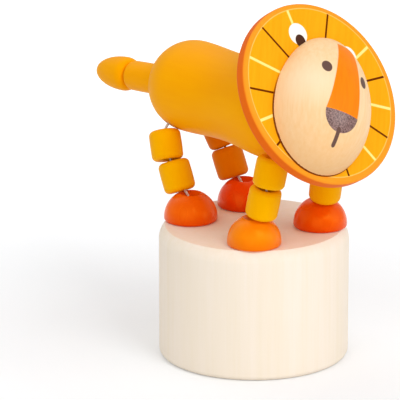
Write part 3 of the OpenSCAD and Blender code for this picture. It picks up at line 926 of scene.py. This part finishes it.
# %% Bridge and nose
bridge_left, bridge_bow, bridge_half, bridge_taper = -0.47, 0.005, 4.05, -0.105
bridge_top, bridge_low = 15.4, -6.9
nose_left, nose_up, nose_half_w, nose_half_h, nose_slope = -0.45, -6.62, 4.8, 5.1, 0.06
shine_left, shine_up, shine_edge, shine_full, shine_share = -1.2, -8.0, 3.4, 0.4, 0.3
above = calc(tree, "MAXIMUM", up, 0.0)
bridge_mid = calc(tree, "MULTIPLY_ADD", times(tree, above, above), bridge_bow, bridge_left)
off_bridge = calc(tree, "ABSOLUTE", minus(tree, left, bridge_mid))
bridge_edge = calc(tree, "MULTIPLY_ADD", up, bridge_taper, bridge_half)
bridge = both(tree, inside(tree, minus(tree, up, bridge_top)), inside(tree, minus(tree, bridge_low, up)))
bridge = both(tree, inside(tree, minus(tree, off_bridge, bridge_edge)), bridge)
orange = mixed(tree, spread(tree, fibres, *noise_span), tone(248, 126, 0), tone(252, 136, 0))
colour = mixed(tree, bridge, colour, orange)

speck_span = 0.35, 0.65
specks = cloud_noise(tree, (0.4, 0.4, 0.4))
dark = mixed(tree, spread(tree, specks, *speck_span), tone(94, 70, 68), tone(156, 124, 118))
off_shine = far(tree, minus(tree, left, shine_left), minus(tree, up, shine_up))
shine = times(tree, spread(tree, off_shine, shine_edge, shine_full, 0.0, shine_share), specks)
dark = mixed(tree, shine, dark, tone(232, 216, 212))
nose_top = calc(tree, "MULTIPLY_ADD", left, nose_slope, nose_up)
nose = oval(tree, minus(tree, left, nose_left), nose_half_w, minus(tree, up, nose_up), nose_half_h)
nose = both(tree, nose, inside(tree, minus(tree, up, nose_top)))
colour = mixed(tree, nose, colour, dark)
print("bridge and nose:", len(tree.nodes), "nodes so far")

# %% Eyes and mouth
eyes_left, eye_apart, eye_up, eye_half_w, eye_half_h = -0.64, 5.57, 5.1, 1.2, 1.75
mouth_left, mouth_slope, mouth_top, mouth_low, mouth_half = -1.75, -0.14, -11.0, -14.5, 0.55
plain_dark = tone(104, 76, 68)
off_eyes = minus(tree, calc(tree, "ABSOLUTE", minus(tree, left, eyes_left)), eye_apart)
eyes = oval(tree, off_eyes, eye_half_w, minus(tree, up, eye_up), eye_half_h)
colour = mixed(tree, eyes, colour, plain_dark)
below = calc(tree, "MAXIMUM", minus(tree, mouth_low, up), 0.0)
over = calc(tree, "MAXIMUM", minus(tree, up, mouth_top), 0.0)
off_mouth = minus(tree, left, calc(tree, "MULTIPLY_ADD", up, mouth_slope, mouth_left))
mouth = inside(tree, minus(tree, far(tree, off_mouth, plus(tree, below, over)), mouth_half))
colour = mixed(tree, mouth, colour, plain_dark)
tree.links.new(colour, shader.inputs["Base Color"])
print("face paint:", len(tree.nodes), "nodes")

# %% [markdown]
# ## Cords
# Four pale threads hold everything together. Each starts in a knot under the button, runs up through its
# foot and leg, turns in the torso, and ends behind the face or in the tail's tip. A plain round tube would
# look like wire. Thread is laid from twisted yarn, so the path carries a three-lobed section that turns as
# it goes.

# %% Yarn
yarn_r, lobe_h, lobe_count, yarn_points = 0.35, 0.05, 3, 18
yarn = bpy.data.curves.new("yarn_section", "CURVE")
yarn.dimensions = "2D"
lobes = yarn.splines.new("POLY")
lobes.points.add(yarn_points - 1)
for i in range(yarn_points):
    a = 2 * pi * i / yarn_points
    reach = (yarn_r + lobe_h * cos(lobe_count * a)) * MM
    lobes.points[i].co = (reach * cos(a), reach * sin(a), 0, 1)
lobes.use_cyclic_u = True
yarn_section = bpy.data.objects.new("yarn_section", yarn)
bpy.context.collection.objects.link(yarn_section)

thread_finish, tree, shader = new_finish("pale_thread", gloss=0.15)
fuzz = noise(tree, (0.4, 0.4, 0.4))
tree.links.new(mixed(tree, fuzz, tone(226, 216, 198), tone(248, 242, 230)), shader.inputs["Base Color"])
tree.links.new(spread(tree, fuzz, *noise_span, 0.8, 0.92), shader.inputs["Roughness"])
print("yarn:", lobe_count, "lobes")

# %% Thread helpers
thread_step, thread_lay = 0.3, 2.4
knot_l, knot_wide, knot_rise, knot_steps = 3, 0.27, 1.1, 60


def eased(points, share):
    soft = [points[0]]
    for before, here, after in zip(points, points[1:], points[2:]):
        soft += [here + (before - here) * share, here + (after - here) * share]
    return soft + [points[-1]]


def evenly(points, step):
    out, carry = [points[0]], 0.0
    for a, b in zip(points, points[1:]):
        length = (b - a).length
        at = step - carry
        while at < length:
            out.append(a + (b - a) * (at / length))
            at += step
        carry = length - (at - step)
    return out + [points[-1]]


def thread(name, points, node):
    even = evenly(points, thread_step)
    tilts = [2 * pi * i * thread_step / thread_lay for i in range(len(even))]
    piece = path_tube(name, even, 0, tilts, yarn_section)
    piece.data.materials.append(thread_finish)
    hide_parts(node)
    return piece


def knot(name, low, axis, node):
    place = upright_to((0, 0, 0), axis).to_3x3()
    loop = []
    for i in range(knot_steps + 1):
        t = 2 * pi * i / knot_steps
        across = knot_wide * (sin(t) + 2 * sin(2 * t))
        along = knot_wide * (cos(t) - 2 * cos(2 * t))
        loop.append(low + place @ Vector((across, along, knot_l / 2 - knot_rise * sin(3 * t))))
    return thread(name, loop, node)

print("thread ready")

# %% [markdown]
# ### Routes
# A tight cord runs straight from one hole's mouth to the next and leans on the side that it is pulled to.
# Its corners could be typed in one by one. They are worked out from the holes instead, so they follow the
# beads. The two cords of a pair lie side by side in the torso.

# %% Thread routes
pair_apart = 0.55
foot_top, foot_inside = base_h + 7, base_h + 5
bore_deep, bore_lean = 2 * mouth_deep, 0.6
glued_l = 7.6
straight_up = Vector((0, 0, 1))


def pulled(start, axis, goal, most):
    off = goal - start
    flat = off - axis * off.dot(axis)
    return start + flat.normalized() * min(most, flat.length)


def leg_corners(end):
    (shin, shin_axis), (thigh, thigh_axis) = leg_beads[end]["shin"], leg_beads[end]["thigh"]
    x, y = foot_spots[end + "_right"]
    hole, foot, hip = button_hole(x, y), Vector((x, y, 0)), hips[end]
    in_bead = bead_half - bore_deep
    low = [hole + straight_up * z for z in (pocket_top, button_top)]
    low += [foot + straight_up * z for z in (roof_z, foot_inside)]
    low.append(pulled(foot + straight_up * foot_top, straight_up, shin, cord_hole_r))
    shin_low = pulled(shin - shin_axis * in_bead, shin_axis, low[-1], bore_lean)
    shin_high = pulled(shin + shin_axis * in_bead, shin_axis, thigh - thigh_axis * bead_half, bore_lean)
    thigh_low = pulled(thigh - thigh_axis * in_bead, thigh_axis, shin + shin_axis * bead_half, bore_lean)
    return low + [shin_low, shin_high, thigh_low, hip - thigh_axis * bore_deep, hip]


def body_corners(end):
    beside = Vector((0, -pair_apart, 0))
    root = hip_roots[end] + beside
    if end == "front":
        exits = [chest + head_dir * (0.3 * chest_r), neck, neck + head_dir * disc_t]
    else:
        exits = [rump + tail_dir * (0.3 * rump_r), tail_mid, tip_start + tail_dir * glued_l]
    return [root + (hips[end] - root) * share for share in (0.7, 0.3, 0)] + [p + beside for p in exits]

routes = {end: leg_corners(end) + body_corners(end) for end in leans}
print("routes:", {end: len(route) for end, route in routes.items()}, "corners")

# %% [markdown]
# ### Strung threads
# A strung thread crosses several joints. One long piece could bend with two bodies only, so it is made in
# short runs that meet inside the wood: a run that lies in one piece rides on it, and a run between two
# pieces is left where it is drawn. The run in the hollow rides on the base.

# %% Threads
first_ease, second_ease, fine_step = 0.28, 0.25, 0.1
knot_lift, knot_apart = 0.6, 1.35
high_knot = neck + head_dir * (disc_t + knot_lift) + Vector((0, -knot_apart, 0))


def cut_at(points, spot):
    return min(range(len(points)), key=lambda i: (points[i] - spot).length)


def between(a, b, share=0.5):
    return a + (b - a) * share

for end, route in routes.items():
    for side, way in sides.items():
        leg, node = end + "_" + side, "cord_" + end + "_" + side
        corners = [mirrored(p, way) for p in route]
        smooth = evenly(eased(eased(corners, first_ease), second_ease), fine_step)
        marks = [corners[2], between(corners[5], corners[6]), between(corners[7], corners[8]),
                 between(corners[9], corners[10], 0.35), corners[13], corners[14]]
        cuts = [0] + [cut_at(smooth, m) for m in marks] + [len(smooth) - 1]
        runs = [smooth[a:b + 1] for a, b in zip(cuts, cuts[1:])]

        tie = knot("knot_low_" + leg, corners[0] - straight_up * knot_l, straight_up, node)
        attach(tie, "button")
        slack = thread("thread_hollow_" + leg, runs[0], node)
        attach(slack, "base")
        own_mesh(slack)
        ankle = thread("thread_ankle_" + leg, runs[1], node)
        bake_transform(ankle)
        knee = thread("thread_knee_" + leg, runs[2], node)
        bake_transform(knee)
        hip = thread("thread_hip_" + leg, runs[3], node)
        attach(hip, "thigh_" + leg)
        body = thread("thread_body_" + leg, runs[4], node)
        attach(body, "torso")
        if end == "front":
            collar = thread("thread_neck_" + leg, runs[5] + runs[6][1:], node)
            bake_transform(collar)
            stop = knot("knot_high_" + leg, mirrored(high_knot, way), head_dir, node)
            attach(stop, "head")
        else:
            tail_run = thread("thread_tail_" + leg, runs[5], node)
            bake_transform(tail_run)
            tip_run = thread("thread_tip_" + leg, runs[6], node)
            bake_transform(tip_run)
        length = sum((b - a).length for a, b in zip(smooth, smooth[1:]))
        print(node, "runs", round(length, 1), "mm between its ends")
bpy.data.objects.remove(yarn_section)

# %% [markdown]
# ## Floor and light
# The toy stands on a seamless white sheet, a faintly cool one. Stronger lamps could make it white, but they
# would bleach the toy. So the sheet keeps the toy's shadow and adds a little light of its own where the
# camera sees it, directly or in a reflection, and more of it farther from the toy.

# %% Floor
bpy.ops.object.select_all(action="DESELECT")
bpy.ops.mesh.primitive_plane_add(size=8)
floor = bpy.context.active_object
floor.name = "white_sheet"
near_glow, far_glow, glow_from, glow_to = 0.17, 0.5, 0.06, 0.3
sheet, tree, shader = new_finish("white_sheet", gloss=0.1)
shader.inputs["Base Color"].default_value = (0.81, 0.82, 0.832, 1)
shader.inputs["Roughness"].default_value = 0.9
shader.inputs["Emission Color"].default_value = (1, 1, 1, 1)
light_path = tree.nodes.new("ShaderNodeLightPath").outputs
reflected = calc(tree, "MAXIMUM", light_path["Is Glossy Ray"], light_path["Is Transmission Ray"])
seen = calc(tree, "MAXIMUM", light_path["Is Camera Ray"], reflected)
away = tree.nodes.new("ShaderNodeVectorMath")
away.operation = "LENGTH"
tree.links.new(mapped(tree), away.inputs[0])
glow = spread(tree, away.outputs["Value"], glow_from, glow_to, near_glow, far_glow)
tree.links.new(times(tree, seen, glow), shader.inputs["Emission Strength"])
floor.data.materials.append(sheet)
print("floor:", floor.name)

# %% [markdown]
# ### Lamps
# The toy is lit as on a studio table, with soft shadows. One small lamp would give hard ones, so four large
# soft lamps share the work: the key lamp stands to the front right and above, a wider one fills from the
# front left, a third lights the tops from behind, and a low one brightens the right side. The world gives
# even light from all around.

# %% Light
def lamp(name, across, near, high, size, power):
    bpy.ops.object.select_all(action="DESELECT")
    place = middle + across * right + near * back + Vector((0, 0, high))
    bpy.ops.object.light_add(type="AREA", location=place)
    light = bpy.context.active_object
    light.name = name
    light.data.size = size
    light.data.energy = power
    light.rotation_euler = (middle - light.location).to_track_quat("-Z", "Y").to_euler()
    return light

lamps = [
    lamp("key_lamp", across=0.5, near=0.75, high=0.6, size=0.5, power=4.2),
    lamp("front_lamp", across=-0.3, near=0.95, high=0, size=1.0, power=2.7),
    lamp("top_lamp", across=-0.3, near=-0.5, high=1.0, size=1.0, power=2.3),
    lamp("side_lamp", across=0.85, near=0.3, high=0.3, size=0.6, power=1.5)]
world = bpy.data.worlds.new("even_light")
bpy.context.scene.world = world
world.use_nodes = True
even_light = world.node_tree.nodes["Background"]
even_light.inputs["Color"].default_value = (1, 1, 1, 1)
even_light.inputs["Strength"].default_value = 0.57
print("lamps:", [light.name for light in lamps])
